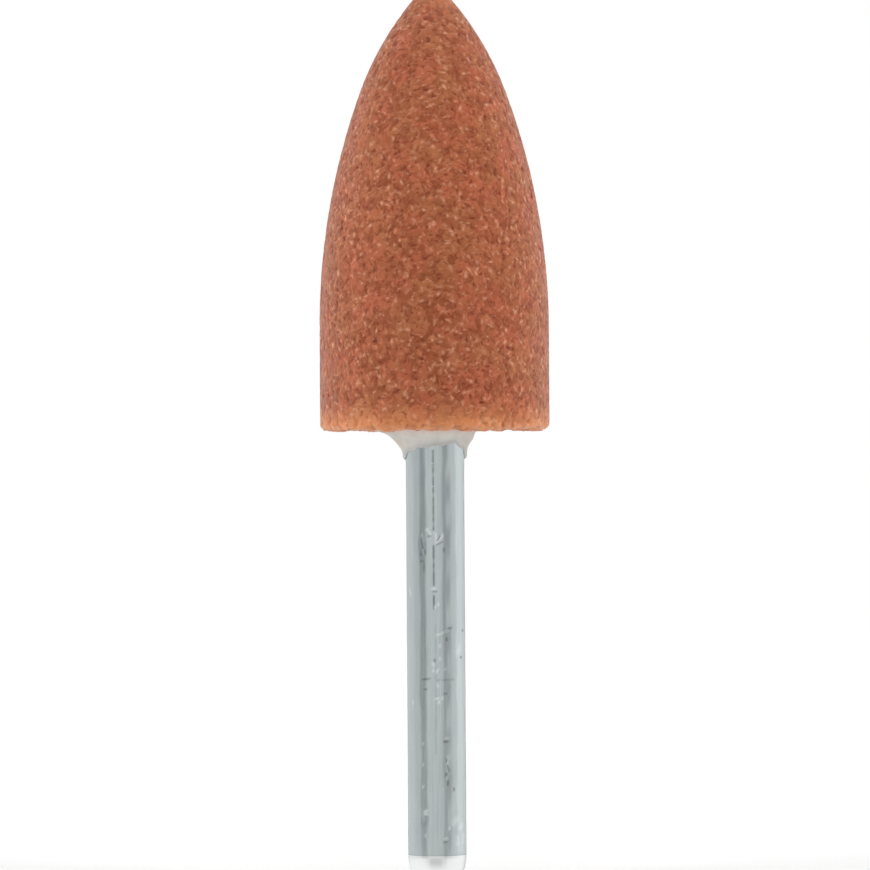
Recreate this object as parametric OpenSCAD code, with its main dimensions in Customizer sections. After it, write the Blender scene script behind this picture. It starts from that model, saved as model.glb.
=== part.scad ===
// Mounted point: a pointed abrasive stone cemented onto a plain steel spindle.
// The origin is the middle of the shank's free end, and +Z runs along the spindle to the stone's tip.

/* [Abrasive head] */
// Diameter of the straight land
head_d = 12.5; // [10.5:0.1:14.5]
// Length from the base to the tip
head_len = 23.7; // [20:0.1:30]
// Length of the straight land above the base
land_len = 5.5; // [2:0.1:8]
// Diameter where the long flank gives way to the nose
nose_d = 8; // [7:0.1:10]
// Length of the nose, from the tip back to the flank
nose_len = 5.4; // [3.5:0.1:6.5]
// Diameter that the nose would have at the tip without its rounding
tip_d = 1.6; // [1:0.1:3]
// Radius that blunts the tip
tip_round = 0.6; // [0.2:0.05:1]
// Radius that breaks the edge of the base
base_round = 0.3; // [0.1:0.05:0.8]

/* [Spindle] */
// Diameter of the shank that a collet grips
shank_d = 3.2; // [2.4:0.05:4]
// Length of the shank below the head
shank_len = 24.6; // [16:0.1:45]
// Length of the spindle held inside the head
seat_len = 12; // [8:0.1:15]
// Length of the rounded lead at the shank's free end
lead_len = 1.3; // [0.6:0.1:2.5]
// How far the lead draws in from the shank's wall
lead_in = 0.4; // [0.2:0.05:0.8]
// Radius of the lead's curve
lead_round = 3; // [2:0.1:6]
// Chamfer on the end inside the head
end_chamfer = 0.4; // [0.1:0.05:0.8]

/* [Keying grooves] */
// Distance from one groove to the next
key_pitch = 2; // [1.2:0.1:4]
// Width of a groove at the spindle's wall
key_w = 0.8; // [0.6:0.05:1]
// Depth of a groove
key_depth = 0.25; // [0.1:0.05:0.4]
// How far the cement laps over the plain shank below the first groove
key_lap = 0.15; // [0.05:0.01:0.2]

/* [Cement] */
// Cement between the spindle and the bore of the head
cement_gap = 0.3; // [0.1:0.05:0.6]
// Cement past the spindle's end, at the bottom of the bore
cement_end = 0.6; // [0.2:0.1:1.5]
// How far the cement reaches down the shank below the head
collar_len = 1.5; // [1.4:0.05:3]
// Thickness of the film where the cement runs out along the shank
film = 0.2; // [0.16:0.01:0.25]
// Length of the fillet between the head and the film
fillet_len = 1.25; // [0.7:0.05:1.3]
// Radius of the fillet
fillet_round = 1.5; // [1.3:0.05:2.5]

/* [Hidden] */
$fn = 180;
// How far an arc runs past the arc that it touches, so that the two cross at one clean point
overlap = 0.0005;

// Heights of the head's stages
base_z = shank_len;
land_z = base_z + land_len;
tip_z = base_z + head_len;
nose_z = tip_z - nose_len;

// Flank: an arc that leaves the land without a break and ends at the nose
head_r = head_d / 2;
flank_h = nose_z - land_z;
flank_in = (head_d - nose_d) / 2;
flank_r = (flank_h ^ 2 + flank_in ^ 2) / (2 * flank_in);
flank_c = [head_r - flank_r, land_z];

// Nose: a tighter arc that leaves the flank without a break and runs to the tip
nose_lean = asin(flank_h / flank_r);
nose_in = (nose_d - tip_d) / 2;
nose_out = [cos(nose_lean), sin(nose_lean)];
nose_r = (nose_in ^ 2 + nose_len ^ 2) / (2 * [nose_in, -nose_len] * nose_out) + overlap;
nose_c = [nose_d / 2, nose_z] - (nose_r - overlap) * nose_out;

// Tip: a rounding that touches the nose and ends in a small flat
tip_c_z = tip_z - tip_round;
tip_flat_r = nose_c.x + sqrt((nose_r - tip_round) ^ 2 - (tip_c_z - nose_c.y) ^ 2) + overlap;
blunt_z = nose_c.y + (tip_c_z - nose_c.y) * nose_r / (nose_r - tip_round);

// Lead: an arc through the shank's wall and the rim of its end face
shank_r = shank_d / 2;
spindle_len = shank_len + seat_len;
lead_chord = norm([lead_in, lead_len]);
lead_rise = sqrt(lead_round ^ 2 - (lead_chord / 2) ^ 2);
lead_c = [shank_r - lead_in / 2, lead_len / 2] + lead_rise / lead_chord * [-lead_len, lead_in];

// Cement and the bore that it fills
bore_r = shank_r + cement_gap;
bore_len = seat_len + cement_end;
film_r = shank_r + film;
lip_z = base_z - collar_len;
fillet_z = base_z - fillet_len;
fillet_c = [film_r + fillet_round, fillet_z];

// Grooves from just inside the cement's lip to short of the spindle's end
key_z = lip_z + key_lap;
key_last = spindle_len - end_chamfer - key_w;

// Half section of the whole stone, before its bore
module head_section() {
    translate([0, base_z]) square([head_r - base_round, base_round]);
    translate([head_r - base_round, base_z + base_round]) circle(base_round);
    translate([0, base_z + base_round]) square([head_r, land_len - base_round]);
    intersection() {
        translate(flank_c) circle(flank_r);
        translate([0, land_z]) square([head_r, flank_h]);
    }
    intersection() {
        translate(nose_c) circle(nose_r);
        translate([0, land_z]) square([head_r, blunt_z - land_z]);
    }
    translate([0, tip_c_z]) square([tip_flat_r, tip_round]);
    intersection() {
        translate([tip_flat_r, tip_c_z]) circle(tip_round);
        translate([tip_flat_r, tip_c_z]) square(tip_round);
    }
}

// Half section of the blind bore in the base of the stone
module bore_section() {
    translate([0, base_z]) square([bore_r, bore_len]);
}

// V groove whose mouth lies on the spindle's wall, from z upwards
module groove_section(z) {
    polygon([
        [shank_r + key_depth, z - key_w / 2],
        [shank_r - key_depth, z + key_w / 2],
        [shank_r + key_depth, z + key_w * 3 / 2]
    ]);
}

// Half section of the spindle: rounded lead, plain shank and keyed end
module spindle_section() {
    difference() {
        intersection() {
            square([shank_r, spindle_len]);
            union() {
                translate(lead_c) circle(lead_round);
                translate([0, lead_c.y]) square([shank_d, spindle_len]);
            }
        }
        for (z = [key_z : key_pitch : key_last]) groove_section(z);
        translate([shank_r, spindle_len]) rotate(45) square(end_chamfer * sqrt(2), center = true);
    }
}

// Half section of the cement outside the bore, with the shank still filled in
module collar_section() {
    difference() {
        translate([0, fillet_z]) square([fillet_c.x, fillet_len]);
        translate(fillet_c) circle(fillet_round);
    }
    translate([0, lip_z + film]) square([film_r, collar_len - film]);
    translate([shank_r, lip_z + film]) circle(film);
}

module abrasive_head() {
    color("#a4613f") rotate_extrude() difference() {
        head_section();
        bore_section();
    }
}

module bonding_cement() {
    color("#bfbab4") rotate_extrude() difference() {
        union() {
            bore_section();
            collar_section();
        }
        spindle_section();
    }
}

module spindle() {
    color("#aeb4b5") rotate_extrude() spindle_section();
}

abrasive_head();
bonding_cement();
spindle();
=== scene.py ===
"""Looks of the mounted point: a fired abrasive stone, cemented onto a plated steel spindle, in a pale studio.

Lengths are in millimetres, and a mesh is scaled to metres when it is made. Angles round the part start at the
side that faces the camera and grow towards its right.
"""

import logging
import math
from collections.abc import Sequence
from dataclasses import dataclass, field
from enum import Enum
from typing import Any

import bpy
import numpy as np
from mathutils import Matrix, Vector
from mathutils.kdtree import KDTree


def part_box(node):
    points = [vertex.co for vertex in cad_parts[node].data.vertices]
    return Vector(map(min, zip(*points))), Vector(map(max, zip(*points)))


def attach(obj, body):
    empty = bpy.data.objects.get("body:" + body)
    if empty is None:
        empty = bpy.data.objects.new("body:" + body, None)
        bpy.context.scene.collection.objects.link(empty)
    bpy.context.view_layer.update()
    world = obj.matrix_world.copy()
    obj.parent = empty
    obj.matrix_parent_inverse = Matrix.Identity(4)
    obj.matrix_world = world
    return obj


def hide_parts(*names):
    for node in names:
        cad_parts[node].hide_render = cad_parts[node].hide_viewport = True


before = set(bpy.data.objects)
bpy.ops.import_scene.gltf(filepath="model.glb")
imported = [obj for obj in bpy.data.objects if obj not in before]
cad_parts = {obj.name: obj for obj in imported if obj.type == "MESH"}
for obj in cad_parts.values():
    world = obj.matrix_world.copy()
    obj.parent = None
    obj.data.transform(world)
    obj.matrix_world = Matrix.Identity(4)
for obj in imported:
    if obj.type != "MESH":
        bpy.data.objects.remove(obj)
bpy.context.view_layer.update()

log = logging.getLogger("mounted_point")

MM = 0.001
SEED = 41
# The name of each piece's own flat map, and the map's margins across and down
BAKE_MAP = "OFBake"
BAKE_MARGINS = (0.02, 0.01)
# Sockets of a colour Mix node, whose names stand for several sockets each
COLOUR_A, COLOUR_B, COLOUR_OUT = 6, 7, 2
# A ring is turned on by less than half a step, so that its first point stays the first
MOST_LEAD = 0.49
# A direction faces down where its upward part is below this
FACES_DOWN = -0.9
# Height at which the cards in front of the part divide into an upper and a lower row
CARD_SPLIT = -45.0

Point = tuple[float, float]


def linear(colour: str) -> tuple[float, float, float, float]:
    """Turns an sRGB hex colour to linear light.

    Args:
        colour: Hex colour such as "#a4613f".

    Returns:
        Linear red, green and blue, and an alpha of 1.
    """
    parts = [int(colour[i:i + 2], 16) / 255 for i in (1, 3, 5)]
    red, green, blue = (p / 12.92 if p <= 0.04045 else ((p + 0.055) / 1.055) ** 2.4 for p in parts)
    return red, green, blue, 1.0


def per_metre(size: float) -> float:
    """Gives the pattern scale, in object coordinates, at which a feature is this many millimetres wide."""
    return 1 / (size * MM)


def add_node(
    tree: bpy.types.NodeTree, kind: str, inputs: dict[str | int, Any] | None = None, **settings: Any
) -> bpy.types.Node:
    """Adds a node with its settings and links.

    Args:
        tree: Tree that the node goes into.
        kind: Blender's name for the node's type.
        inputs: Value or source socket for each input, by the input's name or index.
        settings: Options of the node itself.

    Returns:
        The new node.
    """
    node = tree.nodes.new(kind)
    for name, value in settings.items():
        setattr(node, name, value)
    for name, value in (inputs or {}).items():
        if isinstance(value, bpy.types.NodeSocket):
            tree.links.new(value, node.inputs[name])
        else:
            node.inputs[name].default_value = value
    return node


def add_object(name: str, data: bpy.types.ID) -> bpy.types.Object:
    """Adds an object to the scene.

    Args:
        name: Name of the object.
        data: Its mesh, lamp or camera.

    Returns:
        The new object.
    """
    thing = bpy.data.objects.new(name, data)
    bpy.context.scene.collection.objects.link(thing)
    return thing


def smooth_step(low: float, high: float, value: np.ndarray) -> np.ndarray:
    """Eases from 0 at low to 1 at high."""
    share = np.clip((value - low) / (high - low), 0, 1)
    return share * share * (3 - 2 * share)


def run(start: Point, end: Point, step: float) -> np.ndarray:
    """Sets points along a straight run of a half section.

    Args:
        start: Radius and height where the run starts.
        end: Radius and height where it ends.
        step: Longest distance between points.

    Returns:
        The points after the start, as rows of radius and height.
    """
    count = max(1, math.ceil(math.dist(start, end) / step))
    return np.linspace(start, end, count + 1)[1:]


def bend(centre: Point, radius: float, first: float, last: float, step: float) -> np.ndarray:
    """Sets points along an arc of a half section.

    Args:
        centre: Radius and height of the arc's centre.
        radius: Radius of the arc.
        first: Direction from the centre where the arc starts, in degrees above the outward direction.
        last: Direction where it ends.
        step: Longest distance between points.

    Returns:
        The points after the start, as rows of radius and height.
    """
    count = max(1, math.ceil(radius * math.radians(abs(last - first)) / step))
    turn = np.radians(np.linspace(first, last, count + 1)[1:])
    return np.column_stack([centre[0] + radius * np.cos(turn), centre[1] + radius * np.sin(turn)])


@dataclass
class Ring:
    """Points of one ring of a turned skin.

    Attributes:
        angle: Angle of each point.
        radius: Distance of each point from the axis.
        height: Height of each point.
        lead: Share of a step, below a half, by which the first point is turned on.
        out: Radial and upward parts of the skin's outward direction.
    """

    angle: np.ndarray
    radius: np.ndarray
    height: np.ndarray
    lead: float = 0.0
    out: Point = (1.0, 0.0)


def even_ring(count: int, radius: np.ndarray | float, height: np.ndarray | float) -> Ring:
    """Makes a ring of evenly spaced points whose radius and height may change round it."""
    angle = np.arange(count) * (2 * math.pi / count)
    return Ring(angle, np.broadcast_to(radius, count), np.broadcast_to(height, count))


def turned_rings(
    section: np.ndarray, columns: np.ndarray, rng: np.random.Generator, jitter: float = 0.0, step: float = 0.0
) -> list[Ring]:
    """Turns a half section into rings.

    Args:
        section: Rows of radius and height, from the upper point on the axis to the lower one, both left out.
        columns: Number of points on each ring.
        rng: Source of the rings' turns and of the jitter.
        jitter: Share of a step by which points stray, round the ring and along the section.
        step: Distance between rings, for the jitter along the section.

    Returns:
        A ring for each row of the section.
    """
    along = np.gradient(section, axis=0)
    along /= np.linalg.norm(along, axis=1, keepdims=True)
    rings = []
    for (radius, height), (d_radius, d_height), count in zip(section, along, columns):
        lead = rng.uniform(0, MOST_LEAD) if jitter else 0.0
        stray = rng.uniform(-jitter, jitter, (2, count))
        angle = (np.arange(count) + lead + stray[0]) * (2 * math.pi / count)
        slide = stray[1] * step
        rings.append(
            Ring(angle, radius + slide * d_radius, height + slide * d_height, lead, (-d_height, d_radius))
        )
    return rings


def stitch(upper: Ring, lower: Ring, first_upper: int, first_lower: int) -> np.ndarray:
    """Joins two rings, which may differ in their number of points, with triangles that face out.

    Args:
        upper: Ring nearer the section's start.
        lower: Next ring.
        first_upper: Index of the upper ring's first point in the mesh.
        first_lower: Index of the lower ring's first point in the mesh.

    Returns:
        Rows of three point indices.
    """
    up, low = np.arange(len(upper.angle)), np.arange(len(lower.angle))
    up_middle = (up + 0.5 + upper.lead) / len(up)
    low_middle = (low + 0.5 + lower.lead) / len(low)
    low_beside = np.searchsorted(low_middle, up_middle, side="left") % len(low)
    up_beside = np.searchsorted(up_middle, low_middle, side="right") % len(up)
    on_upper = [first_upper + up, first_lower + low_beside, first_upper + (up + 1) % len(up)]
    on_lower = [first_upper + up_beside, first_lower + low, first_lower + (low + 1) % len(low)]
    return np.vstack([np.column_stack(on_upper), np.column_stack(on_lower)])


class TurnedSkin:
    """Closed skin of rings about the axis, from one point on the axis to another.

    The points of all rings stand one after another in flat arrays, so that relief is worked out for all at
    once.
    """

    def __init__(self, rings: Sequence[Ring], top: float, bottom: float) -> None:
        """Takes the rings, and the heights of the points on the axis that close the skin.

        Args:
            rings: Rings from the section's start to its end.
            top: Height of the point before the first ring.
            bottom: Height of the point after the last ring.
        """
        self.rings = list(rings)
        self.top = top
        self.bottom = bottom
        self.counts = np.array([len(ring.angle) for ring in self.rings])
        self.angle = np.concatenate([ring.angle for ring in self.rings])
        self.radius = np.concatenate([ring.radius for ring in self.rings])
        self.height = np.concatenate([ring.height for ring in self.rings])
        self.out = np.repeat([ring.out for ring in self.rings], self.counts, axis=0)

    def raise_by(self, relief: np.ndarray) -> None:
        """Moves each point along the skin's outward direction."""
        self.radius = self.radius + relief * self.out[:, 0]
        self.height = self.height + relief * self.out[:, 1]

    def places(self) -> np.ndarray:
        """Gives the points as rows of x, y and z."""
        x, y = self.radius * np.sin(self.angle), -self.radius * np.cos(self.angle)
        return np.column_stack([x, y, self.height])

    def outward(self) -> np.ndarray:
        """Gives each point's outward direction as rows of x, y and z."""
        x, y = self.out[:, 0] * np.sin(self.angle), -self.out[:, 0] * np.cos(self.angle)
        return np.column_stack([x, y, self.out[:, 1]])

    def triangles(self) -> np.ndarray:
        """Joins the rings and the two points on the axis.

        Returns:
            Rows of three point indices. The points on the axis follow all the others.
        """
        starts = np.concatenate([[0], np.cumsum(self.counts)])
        faces = [stitch(a, b, i, j) for a, b, i, j in zip(self.rings, self.rings[1:], starts, starts[1:])]
        first, last = np.arange(self.counts[0]), np.arange(self.counts[-1])
        last_at = starts[-2]
        top, bottom = np.full(len(first), starts[-1]), np.full(len(last), starts[-1] + 1)
        faces.append(np.column_stack([top, first, (first + 1) % len(first)]))
        faces.append(np.column_stack([last_at + last, bottom, last_at + (last + 1) % len(last)]))
        return np.vstack(faces)

    def bake_places(self, triangles: np.ndarray) -> np.ndarray:
        """Lays the skin out flat, each ring as wide as it is round, in the order of the section.

        Args:
            triangles: The skin's faces.

        Returns:
            A place between 0 and 1 in both directions for each corner of each face.
        """
        radius = np.array([ring.radius.mean() for ring in self.rings])
        height = np.array([ring.height.mean() for ring in self.rings])
        path = np.column_stack([np.r_[0, radius, 0], np.r_[self.top, height, self.bottom]])
        length = np.concatenate([[0], np.cumsum(np.linalg.norm(np.diff(path, axis=0), axis=1))])
        down = np.r_[np.repeat(length[1:-1], self.counts), 0, length[-1]] / length[-1]
        wide = np.r_[np.repeat(radius, self.counts), 0, 0] / radius.max()
        turn = np.r_[self.angle, 0, 0][triangles] / (2 * math.pi)
        turn = np.where(turn < turn.max(axis=1, keepdims=True) - 0.5, turn + 1, turn)
        side, end = BAKE_MARGINS
        across = 0.5 + (1 - 2 * side) * (turn - 0.5) * wide[triangles]
        return np.stack([across, end + (1 - 2 * end) * (1 - down[triangles])], axis=-1)

    def make(self, name: str, smooth: bool, shades: dict[str, np.ndarray]) -> bpy.types.Object:
        """Makes the skin's object.

        Args:
            name: Name of the piece.
            smooth: Whether its faces shade smoothly into each other.
            shades: Values for the finish to read, by name, one for each point.

        Returns:
            The object, linked to the scene.
        """
        axis = [[0, 0, self.top], [0, 0, self.bottom]]
        triangles = self.triangles()
        mesh = bpy.data.meshes.new(name)
        mesh.from_pydata(np.vstack([self.places(), axis]) * MM, [], triangles)
        mesh.polygons.foreach_set("use_smooth", np.full(len(triangles), smooth))
        for shade, values in shades.items():
            layer = mesh.attributes.new(shade, "FLOAT", "POINT")
            layer.data.foreach_set("value", np.r_[values, 0, 0].astype(np.float32))
        bake_map = mesh.uv_layers.new(name=BAKE_MAP)
        bake_map.data.foreach_set("uv", self.bake_places(triangles).ravel().astype(np.float32))
        mesh.update()
        return add_object(name, mesh)


class Shade(Enum):
    """Values that a mesh carries for its finish."""

    TINT = "grain_tint"
    PORE = "pore_depth"
    GLINT = "grain_glint"
    PALE_WEAR_AND_LIGHT = "pale_wear_and_painted_light"
    DUST = "stone_dust"
    FILM = "thin_film"
    MARK = "marks_and_painted_light"


@dataclass(frozen=True)
class Ramp:
    """How a share follows a value: nothing at one value, and its most at another.

    Attributes:
        none_at: Value at which the share is nothing, and on from which it stays so.
        most_at: Value at which it reaches its most, and on from which it stays there.
        most: The most that it comes to.
    """

    none_at: float
    most_at: float
    most: float = 1.0

    def of(self, value: bpy.types.NodeSocket) -> dict[str, Any]:
        """Gives the inputs with which a Map Range node turns the value into its share."""
        return {"Value": value, "From Min": self.none_at, "From Max": self.most_at, "To Max": self.most}


class Finish:
    """A finish that becomes one material."""

    name = "finish"

    def shader(self, tree: bpy.types.NodeTree) -> bpy.types.Node:
        """Adds the finish's nodes and gives the last shader."""
        raise NotImplementedError

    def material(self) -> bpy.types.Material:
        """Makes the material.

        Returns:
            A new material with the finish's nodes.
        """
        material = bpy.data.materials.new(self.name)
        material.use_nodes = True
        material.node_tree.nodes.clear()
        shader = self.shader(material.node_tree)
        add_node(material.node_tree, "ShaderNodeOutputMaterial", {"Surface": shader.outputs[0]})
        return material


@dataclass(frozen=True)
class VitrifiedAluminiumOxide(Finish):
    """Crushed aluminium oxide in a fired glassy bond, pressed and dressed.

    Brown-orange grains lie at all angles. Glints off a few of them, and the lit sides of their crushed steps,
    are a painted highlight in a pale colour, while the open pores between them and the shaded sides of the
    steps are painted dark as shade. The edge of the base is paler, partly as wear and partly as painted light
    from below, and the tip a little paler as painted light from above.
    """

    name: str = "vitrified_aluminium_oxide"
    brown: str = "#a76139"
    red: str = "#ad5a38"
    dark: str = "#853d18"
    # Painted highlight, for the glints and the lit sides of steps
    glint: str = "#dea17e"
    # Painted shade, for the pores and the shaded sides of steps
    pore: str = "#792c06"
    # Paler colour of the base edge and the tip, partly wear and partly painted light
    rim: str = "#e2935d"
    roughness: float = 0.7
    glint_roughness: float = 0.4
    ior: float = 1.55
    # The open pores swallow about half of the gloss that a closed skin would have
    gloss: float = 0.25
    # Dust in the pores turns the skin paler where it is seen aslant
    dust: float = 0.36
    dust_roughness: float = 0.5
    blotch_size: float = 1.6
    # Crushed faces lie in patches that turn their own way
    patch_size: float = 0.5
    # Their steps are finer than this, and are drawn coarse enough to show
    step_width: float = 0.22
    step_length: float = 0.62
    step_depth: float = 0.03
    step_strength: float = 0.4
    # Blotches that are red, grains that are dark, and the shade and light painted on the two sides of steps
    reddened: Ramp = Ramp(0.4, 0.6)
    darkened: Ramp = Ramp(0.8, 0.0, 0.85)
    shaded: Ramp = Ramp(0.44, 0.22)
    lit: Ramp = Ramp(0.61, 0.93, 0.85)
    # Fracture faces with a painted glint, and places deep enough to be pores, which are painted dark as shade
    glinting: Ramp = Ramp(0.08, 1.0)
    pitted: Ramp = Ramp(0.2, 0.9, 0.55)

    def shader(self, tree: bpy.types.NodeTree) -> bpy.types.Node:
        """Adds the stone's nodes.

        Args:
            tree: Tree of the stone's material.

        Returns:
            The stone's shader.
        """
        place = add_node(tree, "ShaderNodeTexCoord").outputs["Object"]
        tint, pore, glint, rim = (
            add_node(tree, "ShaderNodeAttribute", attribute_name=shade.value).outputs["Fac"]
            for shade in (Shade.TINT, Shade.PORE, Shade.GLINT, Shade.PALE_WEAR_AND_LIGHT)
        )
        blotch = add_node(
            tree, "ShaderNodeTexNoise", {"Vector": place, "Scale": per_metre(self.blotch_size), "Detail": 3.0}
        ).outputs["Fac"]
        patch = add_node(tree, "ShaderNodeTexVoronoi", {"Vector": place, "Scale": per_metre(self.patch_size)})
        turn = add_node(
            tree, "ShaderNodeVectorMath", {0: patch.outputs["Color"], "Scale": 2 * math.pi}, operation="SCALE"
        )
        turned = add_node(
            tree, "ShaderNodeVectorRotate",
            {"Vector": place, "Center": patch.outputs["Position"], "Rotation": turn.outputs[0]},
            rotation_type="EULER_XYZ",
        )
        drawn = add_node(
            tree, "ShaderNodeMapping",
            {"Vector": turned.outputs[0], "Scale": (1.0, 1.0, self.step_width / self.step_length)},
        )
        step = add_node(
            tree, "ShaderNodeTexNoise",
            {"Vector": drawn.outputs[0], "Scale": per_metre(self.step_width), "Detail": 1.0},
        ).outputs["Fac"]
        ramps = (
            (self.reddened, blotch), (self.darkened, tint), (self.shaded, step),
            (self.lit, step), (self.glinting, glint), (self.pitted, pore),
        )
        red_share, dark_share, shade_share, lit_share, bright_share, pore_share = (
            add_node(tree, "ShaderNodeMapRange", ramp.of(value)).outputs[0] for ramp, value in ramps
        )
        glint_share = add_node(
            tree, "ShaderNodeMath", {0: bright_share, 1: lit_share}, operation="MAXIMUM"
        ).outputs[0]
        roughness = add_node(
            tree, "ShaderNodeMapRange",
            {"Value": glint_share, "To Min": self.roughness, "To Max": self.glint_roughness},
        )
        # Among these coats, light and shade are painted into the colour: the shaded and lit sides of steps,
        # the paler base edge and tip, the glints as a highlight, and the pores as shade
        coats = (
            (red_share, self.red), (dark_share, self.dark), (shade_share, self.pore),
            (rim, self.rim), (glint_share, self.glint), (pore_share, self.pore),
        )
        colour = linear(self.brown)
        for share, coat in coats:
            mix = {"Factor": share, COLOUR_A: colour, COLOUR_B: linear(coat)}
            colour = add_node(tree, "ShaderNodeMix", mix, data_type="RGBA").outputs[COLOUR_OUT]
        bump = add_node(
            tree, "ShaderNodeBump",
            {"Height": step, "Strength": self.step_strength, "Distance": self.step_depth * MM},
        )
        return add_node(
            tree, "ShaderNodeBsdfPrincipled",
            {"Base Color": colour, "Roughness": roughness.outputs[0], "IOR": self.ior,
             "Specular IOR Level": self.gloss, "Sheen Weight": self.dust,
             "Sheen Roughness": self.dust_roughness, "Normal": bump.outputs["Normal"]},
        )


@dataclass(frozen=True)
class SetCement(Finish):
    """Mineral cement, spread by hand and set.

    Matt and grey-white, faintly mottled and pitted, with pink stone dust where it meets the head. Where it
    thins out on the shank, the steel shows through and greys it.
    """

    name: str = "set_mineral_cement"
    body: str = "#e3dfd9"
    shade: str = "#d5d0c8"
    dust: str = "#d6b19e"
    film: str = "#ccd0ce"
    roughness: float = 0.85
    ior: float = 1.5
    mottle_size: float = 0.7
    grain_size: float = 0.12
    grain_depth: float = 0.02
    grain_strength: float = 0.5
    mottled: Ramp = Ramp(0.35, 0.7)

    def shader(self, tree: bpy.types.NodeTree) -> bpy.types.Node:
        """Adds the cement's nodes.

        Args:
            tree: Tree of the cement's material.

        Returns:
            The cement's shader.
        """
        place = add_node(tree, "ShaderNodeTexCoord").outputs["Object"]
        dust, film = (
            add_node(tree, "ShaderNodeAttribute", attribute_name=shade.value).outputs["Fac"]
            for shade in (Shade.DUST, Shade.FILM)
        )
        mottle, grain = (
            add_node(
                tree, "ShaderNodeTexNoise", {"Vector": place, "Scale": per_metre(size), "Detail": detail}
            ).outputs["Fac"]
            for size, detail in ((self.mottle_size, 4.0), (self.grain_size, 3.0))
        )
        shade_share = add_node(tree, "ShaderNodeMapRange", self.mottled.of(mottle)).outputs[0]
        colour = linear(self.body)
        for share, coat in ((shade_share, self.shade), (dust, self.dust), (film, self.film)):
            mix = {"Factor": share, COLOUR_A: colour, COLOUR_B: linear(coat)}
            colour = add_node(tree, "ShaderNodeMix", mix, data_type="RGBA").outputs[COLOUR_OUT]
        bump = add_node(
            tree, "ShaderNodeBump",
            {"Height": grain, "Strength": self.grain_strength, "Distance": self.grain_depth * MM},
        )
        return add_node(
            tree, "ShaderNodeBsdfPrincipled",
            {"Base Color": colour, "Roughness": self.roughness, "IOR": self.ior,
             "Normal": bump.outputs["Normal"]},
        )


@dataclass(frozen=True)
class ZincPlatedDrawnSteel(Finish):
    """Cold-drawn steel with bright zinc plating.

    Cool grey and satin, with faint clouds of green and violet from the clear passivation. Die lines run along
    it, so its gloss changes in fine upright streaks. Handling has left dark scratches, and nicks and scuffs
    whose brightness is a painted highlight.
    """

    name: str = "zinc_plated_drawn_steel"
    body: str = "#c9d2d1"
    cloud: str = "#c7cfd2"
    streak: str = "#c0c9c9"
    dark_mark: str = "#5d6263"
    # Painted highlight of nicks and scuffs
    painted_highlight_colour: str = "#f2f5f5"
    roughness: float = 0.17
    streak_roughness: float = 0.26
    # Die lines are finer than this, and are drawn as coarse as they need to show
    streak_width: float = 0.06
    streak_length: float = 2.5
    streak_depth: float = 0.0002
    cloud_width: float = 0.9
    cloud_length: float = 2.5
    # Streaks that dull the gloss and tint the colour, and clouds that tint it
    dulled: Ramp = Ramp(0.35, 0.65)
    streaked: Ramp = Ramp(0.45, 0.75)
    clouded: Ramp = Ramp(0.4, 0.6)
    # Marks are bright below zero, as a painted highlight, and dark above it
    painted_highlight: Ramp = Ramp(0.0, -1.0)
    scratched: Ramp = Ramp(0.0, 1.0)

    def shader(self, tree: bpy.types.NodeTree) -> bpy.types.Node:
        """Adds the plated steel's nodes.

        Args:
            tree: Tree of the steel's material.

        Returns:
            The steel's shader.
        """
        place = add_node(tree, "ShaderNodeTexCoord").outputs["Object"]
        mark = add_node(tree, "ShaderNodeAttribute", attribute_name=Shade.MARK.value).outputs["Fac"]
        patterns = []
        for width, length, detail in (
            (self.streak_width, self.streak_length, 3.0), (self.cloud_width, self.cloud_length, 2.0)
        ):
            squeeze = (1.0, 1.0, width / length)
            drawn = add_node(tree, "ShaderNodeMapping", {"Vector": place, "Scale": squeeze})
            noise = {"Vector": drawn.outputs[0], "Scale": per_metre(width), "Detail": detail}
            patterns.append(add_node(tree, "ShaderNodeTexNoise", noise).outputs["Fac"])
        streak, cloud = patterns
        roughness = add_node(
            tree, "ShaderNodeMapRange",
            self.dulled.of(streak) | {"To Min": self.roughness, "To Max": self.streak_roughness},
        )
        coats = (
            (self.clouded, cloud, self.cloud), (self.streaked, streak, self.streak),
            (self.painted_highlight, mark, self.painted_highlight_colour), (self.scratched, mark, self.dark_mark),
        )
        colour = linear(self.body)
        for ramp, value, coat in coats:
            share = add_node(tree, "ShaderNodeMapRange", ramp.of(value)).outputs[0]
            mix = {"Factor": share, COLOUR_A: colour, COLOUR_B: linear(coat)}
            colour = add_node(tree, "ShaderNodeMix", mix, data_type="RGBA").outputs[COLOUR_OUT]
        bump = add_node(
            tree, "ShaderNodeBump", {"Height": streak, "Strength": 1.0, "Distance": self.streak_depth * MM}
        )
        return add_node(
            tree, "ShaderNodeBsdfPrincipled",
            {"Base Color": colour, "Metallic": 1.0, "Roughness": roughness.outputs[0],
             "Normal": bump.outputs["Normal"]},
        )


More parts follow.
